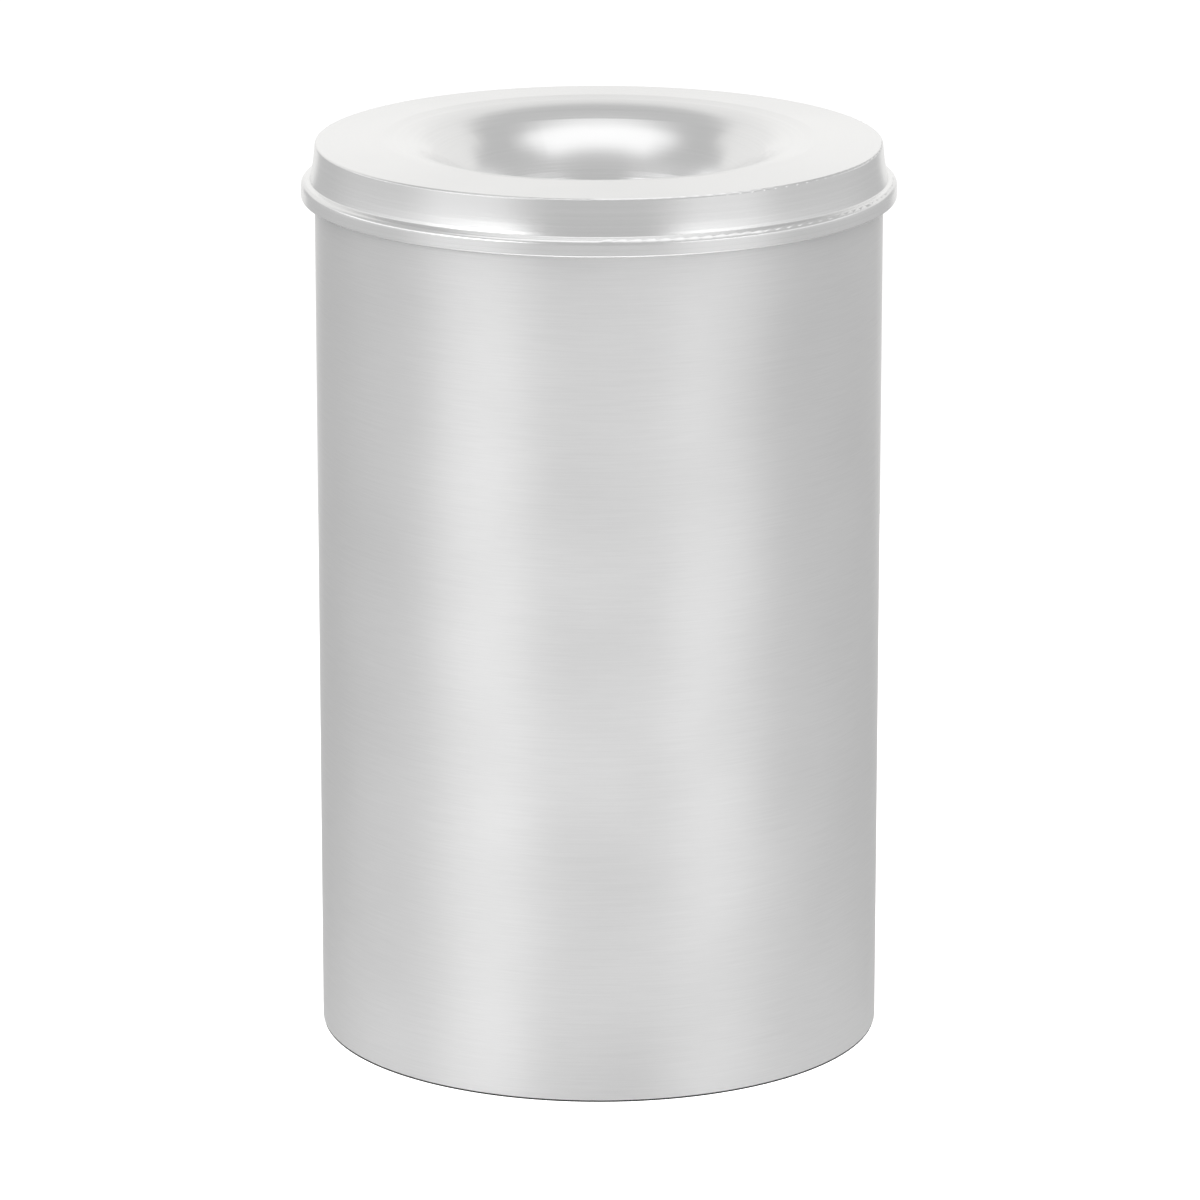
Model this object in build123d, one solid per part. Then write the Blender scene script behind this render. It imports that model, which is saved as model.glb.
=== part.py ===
"""Fire-safe wastepaper bin, about 100 litres: a brushed steel drum with a loose spun aluminium head.

The head is a raised flat ring with a flared skirt outside and a deep funnel inside. Waste drops
through the funnel's throat, and smoke is turned back down under the ring, which starves a fire.

Every sheet piece is a bent strip turned about the vertical axis. Millimetres, Z up, with the
origin on the floor at the centre. The drum's lap seam runs up its back, at +Y.
"""

from build123d import *
import os
from math import radians, tan

# Overall sizes
total_height = 710.0          # floor to the ridge where the ring and the funnel meet
drum_radius = 219.5           # outside of the drum wall
drum_sheet = 1.0
head_sheet = 1.2
lay_gap = 0.05                # between pieces of one assembly that lie on each other
tight_bend = 0.1              # inside radius of a sheet that is folded flat

# Floor ring, a plastic edging under and inside the drum's bottom fold
floor_lip = 1.2               # height of steel off the floor
floor_lip_inset = 0.5         # the lip ends this far inside the wall
floor_leg = 3.0               # thickness of the upright leg
floor_ring_height = 12.0
floor_ring_round = 0.4

# Drum bottom: the wall is folded inward and up again round the base pan's flange
fold_height = 10.0
base_height = 17.0            # top of the base pan near the wall
base_bend = 4.0
base_panel_rise = 3.0         # a raised panel stiffens its middle
base_panel_radius = 136.0
base_panel_slope = 7.0        # width of the panel's sloping edge
base_panel_bend = 6.0

# Drum rim: rolled outward round a steel wire
rim_roll = 8.0                # outside diameter of the roll
rim_roll_tail = 5.0           # how far the roll's end runs back towards the wall
rim_wire_gap = 0.1

# Lap seam up the back
seam_width = 14.0
seam_groove = 0.5
seam_end_gap = 2.0

# Head, outside: ring, flared skirt, sloping shoulder, upright bead with a folded edge
ring_edge_radius = 219.0
ring_rise = 3.0               # the ring is this much higher at its inner edge
ring_edge_bend = 1.8
skirt_drop = 28.0             # from the ring's edge to the shoulder
skirt_foot_radius = 223.2
skirt_top_lean = 5.5          # degrees from vertical
skirt_foot_lean = 14.0
skirt_flare_bend = 100.0
shoulder_fall = 11.0          # degrees below horizontal
shoulder_inner_bend = 1.0
shoulder_outer_bend = 4.5
bead_radius = 230.0
bead_foot = 665.0             # height of the head's lowest outside edge
bead_hem_height = 9.0
seat_gap = 0.4                # left free between the shoulder and the rim roll

# Head, inside: the funnel, which curves down from the ridge in one trumpet shape
ridge_radius = 167.6
ridge_bend = 4.0
lip_slope = 8.0               # degrees, just inside the ridge
lip_corner_radius = 141.0     # where the lip and the bowl would meet in a sharp corner
lip_bend = 62.0
bowl_slope = 34.0             # degrees
bowl_corner_radius = 109.0
bowl_bend = 83.0
cone_slope = 66.0             # degrees, just above the neck
neck_radius = 92.0
neck_bend = 60.0
neck_foot = 618.0             # height of the funnel's lowest edge
neck_roll = 7.0               # outside diameter of the neck's rolled, finger-safe edge
neck_roll_tail = 4.5

# Worked out from the sizes above
wall_inside = drum_radius - drum_sheet
fold_foot = floor_lip + lay_gap
fold_floor = fold_foot + drum_sheet
fold_face = wall_inside - drum_sheet - 2 * lay_gap
ring_edge_height = total_height - ring_rise
shoulder_height = ring_edge_height - skirt_drop
shoulder_slope = tan(radians(shoulder_fall))
rim_centre_radius = wall_inside + rim_roll / 2
rim_top = (
    shoulder_height
    - (rim_centre_radius - skirt_foot_radius) * shoulder_slope
    - head_sheet
    - seat_gap
)
rim_centre_height = rim_top - rim_roll / 2


def strip(points, bends, sheet):
    """The section of a bent sheet.

    The points (radius, height) are the corners of one face of the sheet, which lies to their right.
    Each corner but the ends has a bend radius, measured on that face.
    """
    corners = [complex(*point) for point in points]
    runs = [(after - before) / abs(after - before) for before, after in zip(corners, corners[1:])]
    across = [-1j * run for run in runs]
    mitres = [(a + b) / (1 + (a * b.conjugate()).real) for a, b in zip(across, across[1:])]
    shifts = [across[0], *mitres, across[-1]]
    far_corners = [corner + sheet * shift for corner, shift in zip(corners, shifts)]
    left_turns = [(after / before).imag > 0 for before, after in zip(runs, runs[1:])]
    far_bends = [bend + sheet if left else bend - sheet for bend, left in zip(bends, left_turns)]
    face = FilletPolyline(*points, radius=bends)
    far_face = FilletPolyline(*[(p.real, p.imag) for p in far_corners], radius=far_bends)
    ends = [Line(face @ 0, far_face @ 0), Line(face @ 1, far_face @ 1)]
    return make_face([*face.edges(), *far_face.edges(), *ends])


def turned(section):
    """A section drawn as (radius, height), turned all round the vertical axis."""
    return revolve(Plane.XZ * section, axis=Axis.Z)


def back_band(inner, outer, low, high, width, offset=0.0):
    """An upright strip of a round wall, at the back of the drum."""
    middle = (low + high) / 2
    wall = turned(Pos((inner + outer) / 2, middle) * Rectangle(outer - inner, high - low))
    return wall & Pos(offset, outer, middle) * Box(width, outer, high - low)


def make_drum_shell():
    """The wall, with its bottom fold and rolled rim, and the lap seam where the sheet closes."""
    path = [
        (fold_face, fold_floor + fold_height),
        (fold_face, fold_floor),
        (wall_inside, fold_floor),
        (wall_inside, rim_top),
        (wall_inside + rim_roll, rim_top),
        (wall_inside + rim_roll, rim_top - rim_roll),
        (wall_inside + rim_roll - rim_roll_tail, rim_top - rim_roll),
    ]
    roll_bend = rim_roll / 2 - lay_gap
    wall = turned(strip(path, [tight_bend] * 2 + [roll_bend] * 3, drum_sheet))
    low = base_height + seam_end_gap
    high = rim_top - rim_roll - seam_end_gap
    lap = back_band(wall_inside - drum_sheet, wall_inside, low, high, seam_width)
    groove = back_band(drum_radius - seam_groove, drum_radius + seam_groove, low, high,
                       seam_groove, offset=seam_width / 2)
    return wall + lap - groove


def make_rim_wire():
    """The round wire that the rim is rolled over."""
    wire_radius = rim_roll / 2 - drum_sheet - rim_wire_gap
    return turned(Pos(rim_centre_radius, rim_centre_height) * Circle(wire_radius))


def make_base_pan():
    """The pressed bottom: a shallow dish turned upside down, its flange held in the wall's fold."""
    flange_face = wall_inside - lay_gap
    path = [
        (0, base_height + base_panel_rise),
        (base_panel_radius, base_height + base_panel_rise),
        (base_panel_radius + base_panel_slope, base_height),
        (flange_face, base_height),
        (flange_face, fold_floor + lay_gap),
    ]
    return turned(strip(path, [base_panel_bend, base_panel_bend, base_bend], drum_sheet))


def make_floor_ring():
    """The plastic edging: an upright leg inside the fold and a thin lip below it."""
    leg_outside = fold_face - drum_sheet - lay_gap
    leg_inside = leg_outside - floor_leg
    lip_outside = drum_radius - floor_lip_inset
    section = make_face(FilletPolyline(
        (leg_inside, 0),
        (lip_outside, 0),
        (lip_outside, floor_lip),
        (leg_outside, floor_lip),
        (leg_outside, floor_ring_height),
        (leg_inside, floor_ring_height),
        radius=floor_ring_round,
        close=True,
    ))
    return turned(section)


def make_head():
    """The loose head, spun from one sheet: neck, funnel, flat ring, skirt, shoulder and bead."""
    fold_bend = head_sheet + tight_bend
    lip_corner_height = total_height - (ridge_radius - lip_corner_radius) * tan(radians(lip_slope))
    bowl_corner_height = (
        lip_corner_height - (lip_corner_radius - bowl_corner_radius) * tan(radians(bowl_slope))
    )
    neck_corner_height = (
        bowl_corner_height - (bowl_corner_radius - neck_radius) * tan(radians(cone_slope))
    )
    top_lean = tan(radians(skirt_top_lean))
    foot_lean = tan(radians(skirt_foot_lean))
    lean_reach = skirt_foot_radius - ring_edge_radius
    flare_drop = (skirt_drop * foot_lean - lean_reach) / (foot_lean - top_lean)
    hem_face = bead_radius - 2 * fold_bend
    path = [
        (neck_radius + neck_roll - neck_roll_tail, neck_foot + neck_roll),
        (neck_radius + neck_roll, neck_foot + neck_roll),
        (neck_radius + neck_roll, neck_foot),
        (neck_radius, neck_foot),
        (neck_radius, neck_corner_height),
        (bowl_corner_radius, bowl_corner_height),
        (lip_corner_radius, lip_corner_height),
        (ridge_radius, total_height),
        (ring_edge_radius, ring_edge_height),
        (ring_edge_radius + flare_drop * top_lean, ring_edge_height - flare_drop),
        (skirt_foot_radius, shoulder_height),
        (bead_radius, shoulder_height - (bead_radius - skirt_foot_radius) * shoulder_slope),
        (bead_radius, bead_foot),
        (hem_face, bead_foot),
        (hem_face, bead_foot + bead_hem_height),
    ]
    roll_bend = neck_roll / 2 - lay_gap
    bends = [
        roll_bend, roll_bend, roll_bend, neck_bend, bowl_bend, lip_bend, ridge_bend,
        ring_edge_bend, skirt_flare_bend, shoulder_inner_bend, shoulder_outer_bend,
        fold_bend - lay_gap, fold_bend - lay_gap,
    ]
    return turned(strip(path, bends, head_sheet))


makers = {
    "drum_shell": make_drum_shell,
    "rim_wire": make_rim_wire,
    "base_pan": make_base_pan,
    "floor_ring": make_floor_ring,
    "spun_head": make_head,
}

os.makedirs("parts", exist_ok=True)
for node, make in makers.items():
    export_step(make(), f"parts/{node}.step")
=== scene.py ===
import math

import bpy
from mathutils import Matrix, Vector

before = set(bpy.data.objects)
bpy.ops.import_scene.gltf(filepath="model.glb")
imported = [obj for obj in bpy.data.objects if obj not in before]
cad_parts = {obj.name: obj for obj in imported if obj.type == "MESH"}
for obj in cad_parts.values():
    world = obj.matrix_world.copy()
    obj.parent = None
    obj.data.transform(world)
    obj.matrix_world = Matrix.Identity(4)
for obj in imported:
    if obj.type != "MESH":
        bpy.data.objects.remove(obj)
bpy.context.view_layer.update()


# The drum: one 1 mm sheet of stainless steel, rolled round and closed by a lap seam up the back,
# which is seam welded. Its rim is rolled outward over a wire and its foot is folded in round the
# base pan. It was brushed round its circumference before it was rolled.


def srgb(hex_colour):
    """An sRGB hex colour as linear RGBA."""
    channels = [int(hex_colour[i:i + 2], 16) / 255 for i in (0, 2, 4)]
    linear = [c / 12.92 if c <= 0.04045 else ((c + 0.055) / 1.055) ** 2.4 for c in channels]
    return (*linear, 1.0)


def add_node(tree, kind, inputs=None, **settings):
    """Adds a node with its settings, and sets each input to a value or links it to an output."""
    node = tree.nodes.new(kind)
    for name, value in settings.items():
        setattr(node, name, value)
    for name, value in (inputs or {}).items():
        if isinstance(value, bpy.types.NodeSocket):
            tree.links.new(value, node.inputs[name])
        else:
            node.inputs[name].default_value = value
    return node


def start_material(name, metallic, roughness):
    """A new material: itself, its node tree, its shader, and places in the object's own frame."""
    material = bpy.data.materials.new(name)
    material.use_nodes = True
    tree = material.node_tree
    shader = tree.nodes["Principled BSDF"]
    shader.inputs["Metallic"].default_value = metallic
    shader.inputs["Roughness"].default_value = roughness
    place = add_node(tree, "ShaderNodeTexCoord").outputs["Object"]
    return material, tree, shader, place


def groove_round(tree, shader, strength):
    """Stretches a metal's gloss across grooves that run round the upright axis."""
    round_it = add_node(tree, "ShaderNodeTangent", direction_type="RADIAL", axis="Z")
    tree.links.new(round_it.outputs["Tangent"], shader.inputs["Tangent"])
    shader.inputs["Anisotropic"].default_value = strength
    shader.inputs["Anisotropic Rotation"].default_value = 0.25


def dress(node, material):
    """Gives a CAD node its material."""
    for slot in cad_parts[node].material_slots:
        slot.material = material


# A Mix node for colours has its sockets at these numbers.
share, colour_a, colour_b, mixed = 0, 6, 7, 2

# Nearly all of a noise lies between these two values.
noise_low, noise_high = 0.3, 0.7

# Brushed stainless steel, satin: a cool pale grey, with fine level lines and a soft upright sheen.
# The lines of the real grit are about 0.1 mm apart, drawn here 0.7 mm apart so that they show.
brush_length = 0.04
brush_spacing = 0.0007
brush_depth = 0.00005
brushed_steel, tree, shader, place = start_material("brushed stainless steel", 1.0, 0.5)
groove_round(tree, shader, 0.9)
stretched = add_node(tree, "ShaderNodeMapping", {
    "Vector": place, "Scale": (1 / brush_length, 1 / brush_length, 1 / brush_spacing)})
brushing = add_node(tree, "ShaderNodeTexNoise", {
    "Vector": stretched.outputs["Vector"], "Scale": 1.0, "Detail": 2.0, "Roughness": 0.65})
line_tone = add_node(tree, "ShaderNodeMapRange", {
    "Value": brushing.outputs["Fac"], "From Min": noise_low, "From Max": noise_high})
steel_tone = add_node(tree, "ShaderNodeMix", {
    share: line_tone.outputs["Result"], colour_a: srgb("F0F0F0"), colour_b: srgb("F5F5F5")},
    data_type="RGBA")

# Sheet steel is cloudy in patches as wide as a hand, where the brushing belt pressed unevenly.
# The gloss differs from patch to patch, and a little from line to line.
patch = 0.11
cloud = add_node(tree, "ShaderNodeTexNoise", {"Vector": place, "Scale": 1 / patch, "Detail": 1.0})
cloud_roughness = add_node(tree, "ShaderNodeMapRange", {
    "Value": cloud.outputs["Fac"], "From Min": noise_low, "From Max": noise_high,
    "To Min": 0.455, "To Max": 0.515})
line_roughness = add_node(tree, "ShaderNodeMath", {
    0: line_tone.outputs["Result"], 1: 0.03, 2: cloud_roughness.outputs["Result"]},
    operation="MULTIPLY_ADD")
tree.links.new(line_roughness.outputs["Value"], shader.inputs["Roughness"])

# The weld track up the back is 4 mm wide and rippled, with a straw heat tint 14 mm to each side.
weld_half_width = 0.002
weld_edge = 0.0006
weld_height = 0.0002
weld_ripple = 0.0024
ripple_depth = 0.3              # as a share of the weld's height
heat_reach = 0.014
seam_side = 0.1                 # only the drum's back lies beyond this
axes = add_node(tree, "ShaderNodeSeparateXYZ", {"Vector": place})
at_back = add_node(tree, "ShaderNodeMath", {
    0: axes.outputs["Y"], 1: seam_side}, operation="GREATER_THAN")
off_seam = add_node(tree, "ShaderNodeMath", {0: axes.outputs["X"]}, operation="ABSOLUTE")
heat = add_node(tree, "ShaderNodeMapRange", {
    "Value": off_seam.outputs["Value"], "From Min": weld_half_width, "From Max": heat_reach,
    "To Min": 0.55, "To Max": 0.0}, interpolation_type="SMOOTHSTEP")
heat_behind = add_node(tree, "ShaderNodeMath", {
    0: heat.outputs["Result"], 1: at_back.outputs["Value"]}, operation="MULTIPLY")
tinted = add_node(tree, "ShaderNodeMix", {
    share: heat_behind.outputs["Value"], colour_a: steel_tone.outputs[mixed],
    colour_b: srgb("D6CDB4")}, data_type="RGBA")
tree.links.new(tinted.outputs[mixed], shader.inputs["Base Color"])
track = add_node(tree, "ShaderNodeMapRange", {
    "Value": off_seam.outputs["Value"], "From Min": weld_half_width,
    "From Max": weld_half_width + weld_edge, "To Min": 1.0, "To Max": 0.0})
track_behind = add_node(tree, "ShaderNodeMath", {
    0: track.outputs["Result"], 1: at_back.outputs["Value"]}, operation="MULTIPLY")
ripple_turn = add_node(tree, "ShaderNodeMath", {
    0: axes.outputs["Z"], 1: 2 * math.pi / weld_ripple}, operation="MULTIPLY")
ripple = add_node(tree, "ShaderNodeMath", {0: ripple_turn.outputs["Value"]}, operation="SINE")
dent = add_node(tree, "ShaderNodeMath", {
    0: ripple.outputs["Value"], 1: ripple_depth, 2: -1.0}, operation="MULTIPLY_ADD")
weld = add_node(tree, "ShaderNodeMath", {
    0: dent.outputs["Value"], 1: track_behind.outputs["Value"]}, operation="MULTIPLY")
weld_bump = add_node(tree, "ShaderNodeBump", {
    "Height": weld.outputs["Value"], "Strength": 0.6, "Distance": weld_height})
brush_bump = add_node(tree, "ShaderNodeBump", {
    "Height": brushing.outputs["Fac"], "Strength": 0.06, "Distance": brush_depth,
    "Normal": weld_bump.outputs["Normal"]})
tree.links.new(brush_bump.outputs["Normal"], shader.inputs["Normal"])
dress("drum_shell", brushed_steel)


# The rim wire: round steel wire that the drum's rim is rolled over, so that it stays round under
# the head. Drawn through a die, cut and butt welded, and held by the roll alone.

# Drawn steel wire: a darker grey than the sheet, with draw lines along it and patches of dry soap.
draw_length = 0.04
draw_spacing = 0.0004
draw_depth = 0.00005
soap_patch = 0.02
steel_wire, tree, shader, place = start_material("drawn steel wire", 1.0, 0.42)
groove_round(tree, shader, 0.6)
stretched = add_node(tree, "ShaderNodeMapping", {
    "Vector": place, "Scale": (1 / draw_length, 1 / draw_length, 1 / draw_spacing)})
draw_lines = add_node(tree, "ShaderNodeTexNoise", {
    "Vector": stretched.outputs["Vector"], "Scale": 1.0, "Detail": 2.0})
soap = add_node(tree, "ShaderNodeTexNoise", {
    "Vector": place, "Scale": 1 / soap_patch, "Detail": 3.0})
both = add_node(tree, "ShaderNodeMath", {
    0: draw_lines.outputs["Fac"], 1: soap.outputs["Fac"]}, operation="MULTIPLY")
wire_tone = add_node(tree, "ShaderNodeValToRGB", {"Fac": both.outputs["Value"]})
dark_end, pale_end = wire_tone.color_ramp.elements
dark_end.position, dark_end.color = 0.15, srgb("8E8E8D")
pale_end.position, pale_end.color = 0.4, srgb("B9B9BA")
tree.links.new(wire_tone.outputs["Color"], shader.inputs["Base Color"])
line_bump = add_node(tree, "ShaderNodeBump", {
    "Height": draw_lines.outputs["Fac"], "Strength": 0.3, "Distance": draw_depth})
tree.links.new(line_bump.outputs["Normal"], shader.inputs["Normal"])
dress("rim_wire", steel_wire)


# The base pan: a 1 mm steel disc pressed into a shallow dish, upside down, with a raised middle.
# Its flange stands in the fold of the drum's foot, which is rolled tight round it.

# Cold-rolled sheet, mill finish: a duller grey than the drum, with straight rolling lines across
# it, darker and dull in patches where waste has lain. The lines are drawn 1.2 mm apart.
rolling_length = 0.12
rolling_spacing = 0.0012
rolling_depth = 0.00008
stain_patch = 0.06
pressed_steel, tree, shader, place = start_material("cold-rolled steel sheet", 1.0, 0.38)
stretched = add_node(tree, "ShaderNodeMapping", {
    "Vector": place, "Scale": (1 / rolling_length, 1 / rolling_spacing, 1 / rolling_length)})
rolling = add_node(tree, "ShaderNodeTexNoise", {
    "Vector": stretched.outputs["Vector"], "Scale": 1.0, "Detail": 3.0, "Roughness": 0.6})
rolled_tone = add_node(tree, "ShaderNodeMix", {
    share: rolling.outputs["Fac"], colour_a: srgb("AFAFB0"), colour_b: srgb("CBCBCA")},
    data_type="RGBA")
stain = add_node(tree, "ShaderNodeTexNoise", {
    "Vector": place, "Scale": 1 / stain_patch, "Detail": 5.0, "Roughness": 0.65})
stained = add_node(tree, "ShaderNodeMapRange", {
    "Value": stain.outputs["Fac"], "From Min": 0.48, "From Max": 0.7,
    "To Min": 0.0, "To Max": 0.35})
pan_tone = add_node(tree, "ShaderNodeMix", {
    share: stained.outputs["Result"], colour_a: rolled_tone.outputs[mixed],
    colour_b: srgb("8D8A85")}, data_type="RGBA")
tree.links.new(pan_tone.outputs[mixed], shader.inputs["Base Color"])
pan_roughness = add_node(tree, "ShaderNodeMapRange", {
    "Value": stain.outputs["Fac"], "From Min": 0.35, "From Max": 0.7,
    "To Min": 0.32, "To Max": 0.52})
tree.links.new(pan_roughness.outputs["Result"], shader.inputs["Roughness"])
rolling_bump = add_node(tree, "ShaderNodeBump", {
    "Height": rolling.outputs["Fac"], "Strength": 0.25, "Distance": rolling_depth})
tree.links.new(rolling_bump.outputs["Normal"], shader.inputs["Normal"])
dress("base_pan", pressed_steel)


# The floor ring: a moulded plastic edging pushed up inside the drum's folded foot. Its thin lip
# lies under the steel, keeps it off the floor and spares the floor from scratches.

# Black polyethylene, moulded and matte: a soft near-black with a fine spark-eroded grain. It is
# rubbed greyer and smoother on the face that slides on the floor.
moulded_grain = 0.0006
grain_depth = 0.0001
scratch_width = 0.004
wear_height = 0.0006            # the rubbing reaches this far up from the floor
black_plastic, tree, shader, place = start_material("black moulded polyethylene", 0.0, 0.55)
grain = add_node(tree, "ShaderNodeTexNoise", {
    "Vector": place, "Scale": 1 / moulded_grain, "Detail": 2.0})
axes = add_node(tree, "ShaderNodeSeparateXYZ", {"Vector": place})
scratches = add_node(tree, "ShaderNodeTexNoise", {
    "Vector": place, "Scale": 1 / scratch_width, "Detail": 4.0})
rubbed = add_node(tree, "ShaderNodeMapRange", {
    "Value": axes.outputs["Z"], "From Min": 0.0, "From Max": wear_height,
    "To Min": 0.9, "To Max": 0.1})
worn = add_node(tree, "ShaderNodeMath", {
    0: rubbed.outputs["Result"], 1: scratches.outputs["Fac"]}, operation="MULTIPLY")
plastic_tone = add_node(tree, "ShaderNodeMix", {
    share: worn.outputs["Value"], colour_a: srgb("242424"), colour_b: srgb("55534F")},
    data_type="RGBA")
tree.links.new(plastic_tone.outputs[mixed], shader.inputs["Base Color"])
plastic_roughness = add_node(tree, "ShaderNodeMapRange", {
    "Value": worn.outputs["Value"], "From Min": 0.0, "From Max": 0.6,
    "To Min": 0.58, "To Max": 0.4})
tree.links.new(plastic_roughness.outputs["Result"], shader.inputs["Roughness"])
grain_bump = add_node(tree, "ShaderNodeBump", {
    "Height": grain.outputs["Fac"], "Strength": 0.35, "Distance": grain_depth})
tree.links.new(grain_bump.outputs["Normal"], shader.inputs["Normal"])
dress("floor_ring", black_plastic)


# The loose head: one 1.2 mm aluminium disc, spun over a former into funnel, flat ring, flared
# skirt, shoulder and bead in one piece, its neck rolled and its outer edge folded in. It rests
# on the drum's rim by its shoulder and lifts off by hand.

# Spun aluminium, satin and clear lacquered: nearly white and neutral, with fine turning lines
# round the axis. They follow the radius on the flats and the height on the uprights.
# The real lines are about 0.2 mm apart, drawn here 0.8 mm apart so that they show.
turning_spacing = 0.0008
turning_depth = 0.00005
spun_aluminium, tree, shader, place = start_material("spun aluminium", 1.0, 0.22)
groove_round(tree, shader, 0.5)
off_axis = add_node(tree, "ShaderNodeVectorMath", {
    0: place, 1: (1.0, 1.0, 0.0)}, operation="MULTIPLY")
radius = add_node(tree, "ShaderNodeVectorMath", {
    0: off_axis.outputs["Vector"]}, operation="LENGTH")
axes = add_node(tree, "ShaderNodeSeparateXYZ", {"Vector": place})
profile = add_node(tree, "ShaderNodeCombineXYZ", {
    "X": radius.outputs["Value"], "Y": axes.outputs["Z"], "Z": 0.0})
turning = add_node(tree, "ShaderNodeTexNoise", {
    "Vector": profile.outputs["Vector"], "Scale": 1 / turning_spacing, "Detail": 3.0,
    "Roughness": 0.6})
turning_tone = add_node(tree, "ShaderNodeMapRange", {
    "Value": turning.outputs["Fac"], "From Min": noise_low, "From Max": noise_high})
aluminium_tone = add_node(tree, "ShaderNodeMix", {
    share: turning_tone.outputs["Result"], colour_a: srgb("EDEDED"), colour_b: srgb("F3F3F3")},
    data_type="RGBA")
tree.links.new(aluminium_tone.outputs[mixed], shader.inputs["Base Color"])

# Hands leave the satin a little glossier or duller in patches a palm wide.
palm = 0.07
handling = add_node(tree, "ShaderNodeTexNoise", {
    "Vector": place, "Scale": 1 / palm, "Detail": 3.0})
handled_roughness = add_node(tree, "ShaderNodeMapRange", {
    "Value": handling.outputs["Fac"], "From Min": noise_low, "From Max": noise_high,
    "To Min": 0.205, "To Max": 0.235})
turned_roughness = add_node(tree, "ShaderNodeMath", {
    0: turning_tone.outputs["Result"], 1: 0.03, 2: handled_roughness.outputs["Result"]},
    operation="MULTIPLY_ADD")
tree.links.new(turned_roughness.outputs["Value"], shader.inputs["Roughness"])
turning_bump = add_node(tree, "ShaderNodeBump", {
    "Height": turning.outputs["Fac"], "Strength": 0.1, "Distance": turning_depth})
tree.links.new(turning_bump.outputs["Normal"], shader.inputs["Normal"])
dress("spun_head", spun_aluminium)


# The studio floor: white paper, wide enough to lie under all that the metals mirror of it. It is
# blown out to pure white for the camera, and is only as bright as its light in the metals.
paper_radius = 1.6
bpy.ops.object.select_all(action="DESELECT")
bpy.ops.mesh.primitive_circle_add(vertices=128, radius=paper_radius, fill_type="NGON")
floor = bpy.context.object
floor.name = "studio_floor"
white_paper, tree, shader, place = start_material("white paper", 0.0, 1.0)
shader.inputs["Base Color"].default_value = srgb("BEBEBE")
shader.inputs["Specular IOR Level"].default_value = 0.0
shader.inputs["Emission Color"].default_value = srgb("FFFFFF")
seen = add_node(tree, "ShaderNodeLightPath").outputs["Is Camera Ray"]
tree.links.new(seen, shader.inputs["Emission Strength"])
floor.data.materials.append(white_paper)


# The floor lamp: a soft light over the paper in front of the bin. The metals mirror the bright
# pool that it throws on the paper, and not the lamp itself.
lamp_place = (0.0, -1.25, 1.1)
lamp_brightness = 5.6
lamp = bpy.data.lights.new("floor pool", "AREA")
lamp.shape = "RECTANGLE"
lamp.size, lamp.size_y = 2.2, 1.2
lamp.energy = lamp_brightness * math.pi * lamp.size * lamp.size_y
pool = bpy.data.objects.new("floor pool", lamp)
bpy.context.scene.collection.objects.link(pool)
pool.location = lamp_place
pool.visible_camera = False
pool.visible_glossy = False


# The room: soft panels all round a dim grey studio, which the metals mirror. The camera sees
# plain white in their place.

# Each direction in the room is told by angles. Azimuth counts from the front to the right,
# backward from straight behind to either side, and elevation from level up. Pitch and roll lean
# from straight up, to the back and to either side.
world = bpy.data.worlds.new("studio")
bpy.context.scene.world = world
world.use_nodes = True
tree = world.node_tree
tree.nodes.clear()
direction = add_node(tree, "ShaderNodeTexCoord").outputs["Generated"]
axes = add_node(tree, "ShaderNodeSeparateXYZ", {"Vector": direction})
x, y, z = (axes.outputs[axis] for axis in "XYZ")
front = add_node(tree, "ShaderNodeMath", {0: y, 1: -1.0}, operation="MULTIPLY").outputs["Value"]
sideways = add_node(tree, "ShaderNodeMath", {0: x}, operation="ABSOLUTE").outputs["Value"]
angles = {
    "azimuth": add_node(tree, "ShaderNodeMath", {0: x, 1: front}, operation="ARCTAN2"),
    "backward": add_node(tree, "ShaderNodeMath", {0: sideways, 1: y}, operation="ARCTAN2"),
    "elevation": add_node(tree, "ShaderNodeMath", {0: z}, operation="ARCSINE"),
    "pitch": add_node(tree, "ShaderNodeMath", {0: y, 1: z}, operation="ARCTAN2"),
    "roll": add_node(tree, "ShaderNodeMath", {0: sideways, 1: z}, operation="ARCTAN2"),
}

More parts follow.
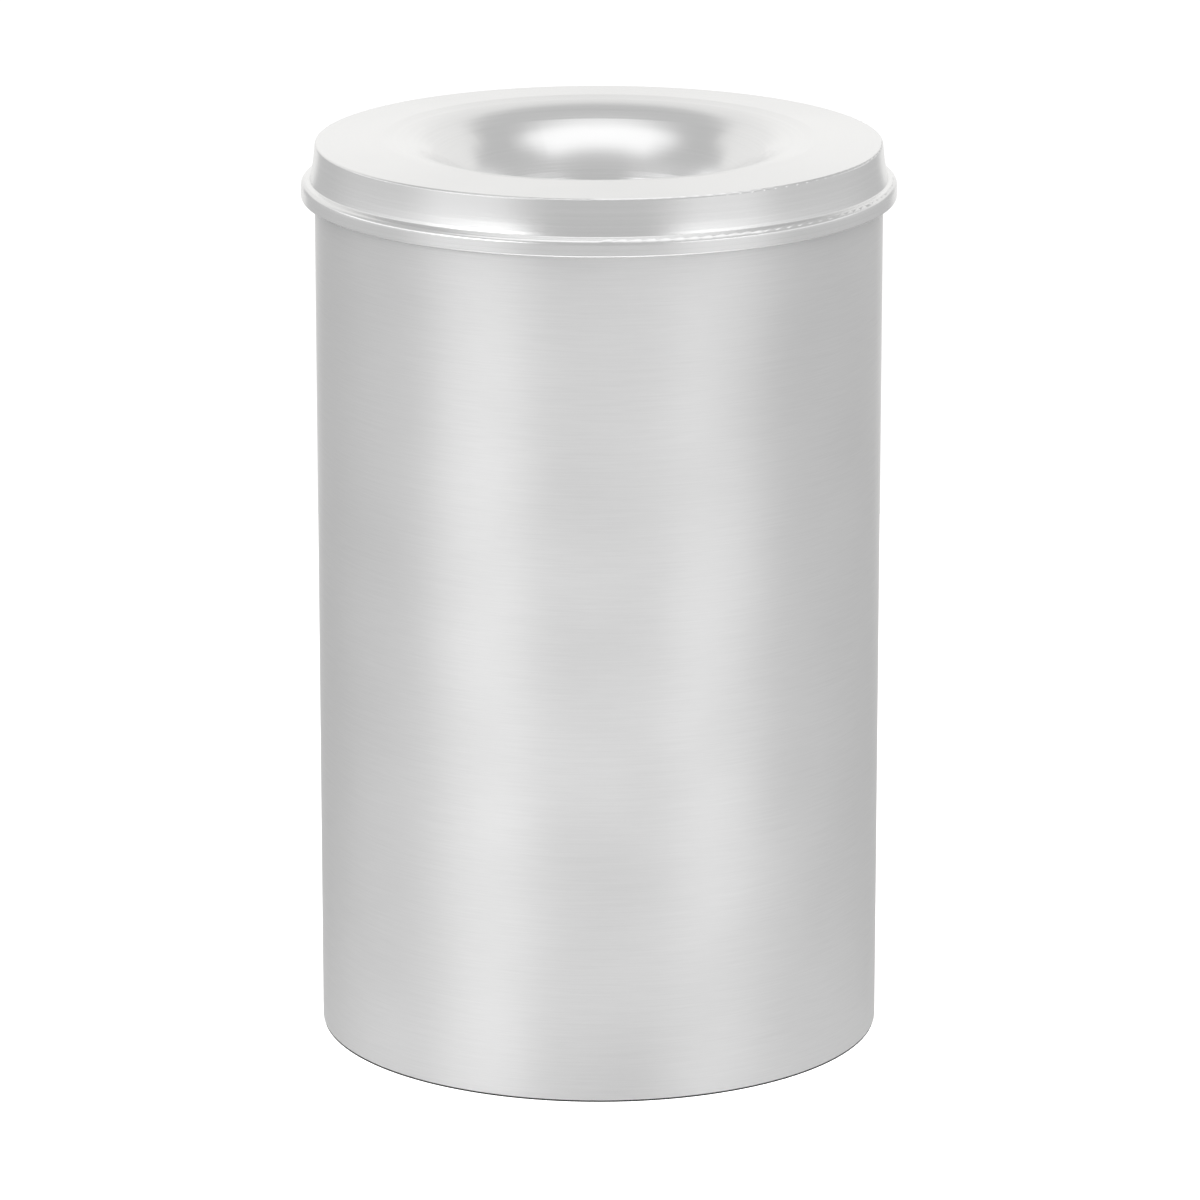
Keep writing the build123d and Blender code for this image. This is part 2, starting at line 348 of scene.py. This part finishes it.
# A panel is its brightness, its tint, and two angles, each with the degrees where the panel
# starts, is full, is last full, and ends.
white = "FFFFFF"
warm_white = "FFFEFB"
panels = [
    # The softbox at the front left, and its bright top
    (0.26, white, "azimuth", -86, -60, -48, -20, "elevation", -30, -15, 20, 30),
    (3.80, white, "azimuth", -80, -58, -38, -20, "elevation", 14, 18, 19, 24),
    # The softbox at the front right, and its bright top
    (0.25, white, "azimuth", 18, 44, 56, 82, "elevation", -30, -15, 20, 30),
    (2.00, white, "azimuth", 22, 38, 50, 76, "elevation", 14, 18, 19, 24),
    # The left wall and its top
    (0.12, white, "azimuth", -140, -108, -85, -50, "elevation", -20, 0, 20, 30),
    (0.90, white, "azimuth", -135, -108, -85, -60, "elevation", 10, 14, 17, 24),
    # The right wall and its top
    (0.08, white, "azimuth", 50, 80, 110, 145, "elevation", -20, 0, 20, 30),
    (0.50, white, "azimuth", 50, 80, 110, 135, "elevation", 10, 14, 17, 24),
    # The backdrop: its lower and its wider upper part, and a brighter middle
    (0.34, warm_white, "backward", -1, 0, 20, 28, "elevation", -20, -10, 6, 12),
    (0.34, warm_white, "backward", -1, 0, 42, 58, "elevation", 6, 12, 38, 46),
    (0.08, warm_white, "backward", -1, 0, 9, 16, "elevation", -20, -10, 20, 28),
    # The far floor in front, past the paper
    (0.35, white, "azimuth", -80, -30, 30, 80, "elevation", -45, -32, -22, -16),
    # The overhead panel
    (0.65, white, "pitch", -38, -22, -1, 15, "roll", -1, 0, 25, 45),
]
dim_room = 0.55
light = (dim_room, dim_room, dim_room)
for brightness, tint, *extents in panels:
    level = brightness
    for name, *degrees in (extents[:5], extents[5:]):
        start, full, last_full, end = (math.radians(value) for value in degrees)
        for nothing, whole in ((start, full), (end, last_full)):
            slope = add_node(tree, "ShaderNodeMapRange", {
                "Value": angles[name].outputs["Value"], "From Min": nothing, "From Max": whole},
                interpolation_type="SMOOTHSTEP")
            level = add_node(tree, "ShaderNodeMath", {
                0: slope.outputs["Result"], 1: level}, operation="MULTIPLY").outputs["Value"]
    panel = add_node(tree, "ShaderNodeVectorMath", {
        0: srgb(tint)[:3], "Scale": level}, operation="SCALE")
    light = add_node(tree, "ShaderNodeVectorMath", {
        0: panel.outputs["Vector"], 1: light}, operation="ADD").outputs["Vector"]
backdrop_white = (1.1, 1.1, 1.1, 1.0)
seen = add_node(tree, "ShaderNodeLightPath").outputs["Is Camera Ray"]
shown = add_node(tree, "ShaderNodeMix", {
    share: seen, colour_a: light, colour_b: backdrop_white}, data_type="RGBA")
glow = add_node(tree, "ShaderNodeBackground", {"Color": shown.outputs[mixed]})
add_node(tree, "ShaderNodeOutputWorld", {"Surface": glow.outputs["Background"]})


# The camera: 5.5 m away, about 15 degrees above the middle of the bin.
aim = Vector((0.0008, 0.0, 0.3396))
distance = 5.5
elevation = math.radians(15.28)
sensor = 36.0
photo_width = 1200
focal_pixels = 7010
far_limit = 50.0
camera_data = bpy.data.cameras.new("camera")
camera_data.sensor_width = sensor
camera_data.lens = sensor * focal_pixels / photo_width
camera_data.clip_end = far_limit
camera = bpy.data.objects.new("camera", camera_data)
bpy.context.scene.collection.objects.link(camera)
camera.location = aim + distance * Vector((0, -math.cos(elevation), math.sin(elevation)))
camera.rotation_mode = "QUATERNION"
camera.rotation_quaternion = (aim - camera.location).to_track_quat("-Z", "Y")
bpy.context.scene.camera = camera
bpy.context.scene.view_settings.view_transform = "Standard"
